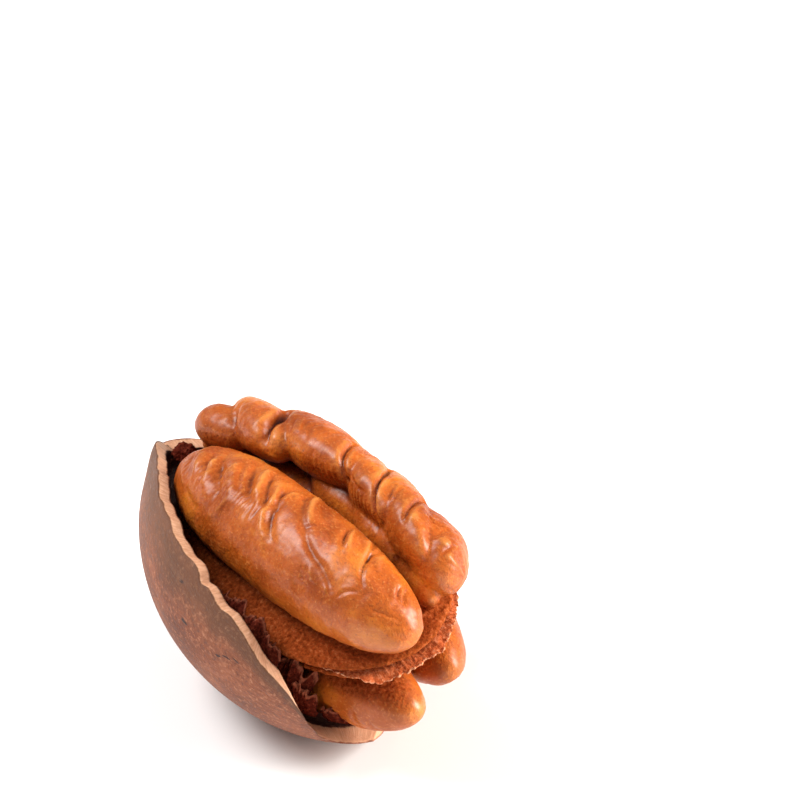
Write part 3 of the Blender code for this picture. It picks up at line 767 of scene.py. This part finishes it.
def finish_septum():
    """Matte orange-brown crumbs, paler along the fringe."""
    finish = Finish("septum_skin", Roughness=0.85, Specular_IOR_Level=0.03)
    crumb = finish.clouds(0.32, 3.0, 0.68)
    base = finish.tinted(crumb, (0.3, colour(162, 70, 36)), (0.52, colour(214, 110, 62)),
                         (0.78, colour(240, 158, 116)))
    fringe = finish.shaped(finish.noted("fringe") + (crumb - 0.5) * 1.2, 0.75, 1.2)
    base = finish.blend(fringe * 0.75, base, colour(226, 168, 130))
    finish.feed("Base Color", base)
    finish.bumps((crumb, 0.12))
    return finish


def torn_strip(name, angles, turns, lean_in, seed, follow, columns):
    """A torn strip of the corky tissue that lines the shell, crumpled, and leaning off the wall towards its
    edge. turns are from its root to its torn edge, in degrees; follow is the share of the near rim's turn
    added."""
    bpy.ops.mesh.primitive_grid_add(x_subdivisions=columns, y_subdivisions=STRIP_ROWS, size=2.0)
    piece = new_piece(name)
    apply(piece, "SOLIDIFY", thickness=BLANK, offset=0.0)
    flat = points_of(piece)
    along, up = (flat[:, 0] + 1) / 2, (flat[:, 1] + 1) / 2
    angle = angles[0] + (angles[1] - angles[0]) * along
    row = np.stack([along * 12, 0 * along, 0 * along], axis=1)
    tear = 10.0 * grain(row, 1.9, seed) + 4.0 * grain(row, 0.8, seed + 3) + 2.0 * grain(row, 0.35, seed + 7)
    fade = np.clip(np.sin(math.pi * along), 0.0, 1.0) ** 0.5
    height = (turns[1] - turns[0] + tear) * (0.3 + 0.7 * fade)
    turn = np.radians(turns[0] + follow * rim_turns(angle)[0] + height * up)
    spots = np.stack([along * 12, up * 4, 0 * up], axis=1)
    crumple = 0.32 * grain(spots, 0.9, seed) + 0.16 * grain(spots, 0.35, seed + 2)
    lean = lean_in * up ** 1.6 * (1.0 + 0.6 * grain(row, 1.1, seed + 5))
    thickness = PACKING_THICKNESS - PACKING_THINNING * up
    radius = (RADIUS * np.sin(angle) - shell_wall(angle, turn) - PACKING_CLEARANCE
              - np.maximum(lean, 0.0) - crumple * up + flat[:, 2] / BLANK * thickness)
    move_to(piece, nut_point(-HALF_LENGTH * np.cos(angle), radius * np.cos(turn), radius * np.sin(turn)))
    note(piece, "edge", ramp(up, 0.8, 1.0))
    face_outwards(piece)
    return piece


def make_crumb(name, centre, size, seed):
    """A crumb of the corky tissue: a knobbly, broken lump."""
    bpy.ops.mesh.primitive_ico_sphere_add(subdivisions=5, radius=1.0)
    piece = new_piece(name)
    ball = points_of(piece)
    swell = (1.0 + 0.22 * grain(ball, 0.7, seed) + 0.16 * grain(ball, 0.3, seed + 4)
             + 0.08 * grain(ball, 0.13, seed + 9))
    u, v, w = (ball * swell[:, None] * np.asarray(size) + np.asarray(centre)).T
    move_to(piece, nut_point(u, v, w))
    note(piece, "edge", ramp(swell, 1.05, 1.3))
    face_outwards(piece)
    return piece


def finish_packing():
    """Matte dark red-brown cork, paler where it is torn."""
    finish = Finish("packing_skin", Roughness=0.85, Specular_IOR_Level=0.03)
    crumb = finish.clouds(0.3, 4.0, 0.68)
    base = finish.tinted(crumb, (0.3, colour(56, 15, 9)), (0.52, colour(92, 32, 20)),
                         (0.78, colour(148, 74, 50)))
    edge = finish.shaped(finish.noted("edge") * 0.7 + crumb * 0.6, 0.6, 1.1)
    base = finish.blend(edge * 0.6, base, colour(172, 102, 76))
    finish.feed("Base Color", base)
    finish.bumps((crumb, 0.14))
    return finish


# Camera and studio

def make_camera():
    """The camera of the photograph. Gives its right, up and back."""
    back = np.array([math.sin(VIEW_TURN) * math.cos(VIEW_HEIGHT),
                     -math.cos(VIEW_TURN) * math.cos(VIEW_HEIGHT), math.sin(VIEW_HEIGHT)])
    right = np.array([math.cos(VIEW_TURN), math.sin(VIEW_TURN), 0.0])
    up = np.cross(back, right)
    pixel = DISTANCE * SENSOR / LENS / PHOTO_SIDE
    off_x = (KERNEL_IN_PHOTO[0] - PHOTO_SIDE / 2) * pixel
    off_y = (PHOTO_SIDE / 2 - KERNEL_IN_PHOTO[1]) * pixel
    place = (KERNEL_CENTRE - right * off_x - up * off_y + back * DISTANCE) * MM
    made = bpy.data.objects.new("camera", bpy.data.cameras.new("camera"))
    made.data.lens = LENS
    made.data.sensor_width = SENSOR
    made.data.clip_start = 0.01
    made.matrix_world = Matrix(((right[0], up[0], back[0], place[0]), (right[1], up[1], back[1], place[1]),
                                (right[2], up[2], back[2], place[2]), (0.0, 0.0, 0.0, 1.0)))
    bpy.context.scene.collection.objects.link(made)
    bpy.context.scene.camera = made
    return right, up, back


def lamp(name, towards, size, power, warmth):
    """A soft oblong lamp that looks at the nut from the given direction."""
    made = bpy.data.objects.new(name, bpy.data.lights.new(name, "AREA"))
    made.data.shape = "RECTANGLE"
    made.data.size, made.data.size_y = size
    made.data.energy = power
    made.data.color = warmth
    towards = Vector(towards).normalized()
    made.location = Vector(NUT_CENTRE * MM) + towards * LAMP_DISTANCE
    made.rotation_euler = towards.to_track_quat("Z", "Y").to_euler()
    bpy.context.scene.collection.objects.link(made)


def make_studio(right, up, back):
    """A white room with two lamps and a paper floor."""
    world = bpy.data.worlds.new("studio")
    world.use_nodes = True
    world.node_tree.nodes["Background"].inputs["Color"].default_value = (*WHITE, 1.0)
    world.node_tree.nodes["Background"].inputs["Strength"].default_value = ROOM_LIGHT
    bpy.context.scene.world = world
    bpy.context.scene.view_settings.view_transform = "Standard"
    lamp("key", -0.70 * right + 0.85 * up + 0.34 * back, size=(0.32, 0.26), power=2.9, warmth=WHITE)
    lamp("side", 0.95 * right + 0.30 * up + 0.30 * back, size=(0.16, 0.36), power=5.4, warmth=WARM_WHITE)
    bpy.ops.mesh.primitive_grid_add(x_subdivisions=8, y_subdivisions=8, size=FLOOR_SIDE)
    floor = new_piece("floor")
    paper = Finish("floor_paper", Roughness=0.9, Specular_IOR_Level=0.1)
    paper.feed("Base Color", paper.tinted(paper.clouds(30.0, 2.0), (0.0, (0.93,) * 3), (1.0, (0.95,) * 3)))
    floor.data.materials.append(paper.material)


right, up, back = make_camera()
make_studio(right, up, back)
finished(make_shell(), finish_shell(), ["shell"])
kernel_skin = finish_kernel()
for piece, node in ((make_upper_kernel(), "kernel_upper_half"), (make_lower_kernel(), "kernel_lower_half")):
    # Painted highlights on the ridges and painted shade in the creases are read from this fine relief
    note(piece, "stand", relief(piece, rounds=14, depth=0.3))
    # Painted shade in the hollows and the groove is read from this broad relief
    note(piece, "hollow", relief(piece, rounds=260, depth=1.6))
    finished(piece, kernel_skin, [node])
finished(make_septum(), finish_septum(), ["septum"])
packing_skin = finish_packing()
strip = torn_strip("packing_strip_torn", (1.58, 2.02), (-15.0, -2.5), 0.9, 2.0, 1.0, columns=150)
finished(strip, packing_skin, ["packing_strip"])
flap = join([torn_strip("packing_flap_torn", *shred, columns=60) for shred in SHREDS])
finished(flap, packing_skin, ["packing_flap"])
crumb = make_crumb("packing_crumb_torn", (-16.9, 2.2, 3.9), (0.95, 1.1, 0.8), 3.0)
finished(crumb, packing_skin, ["packing_crumb"])
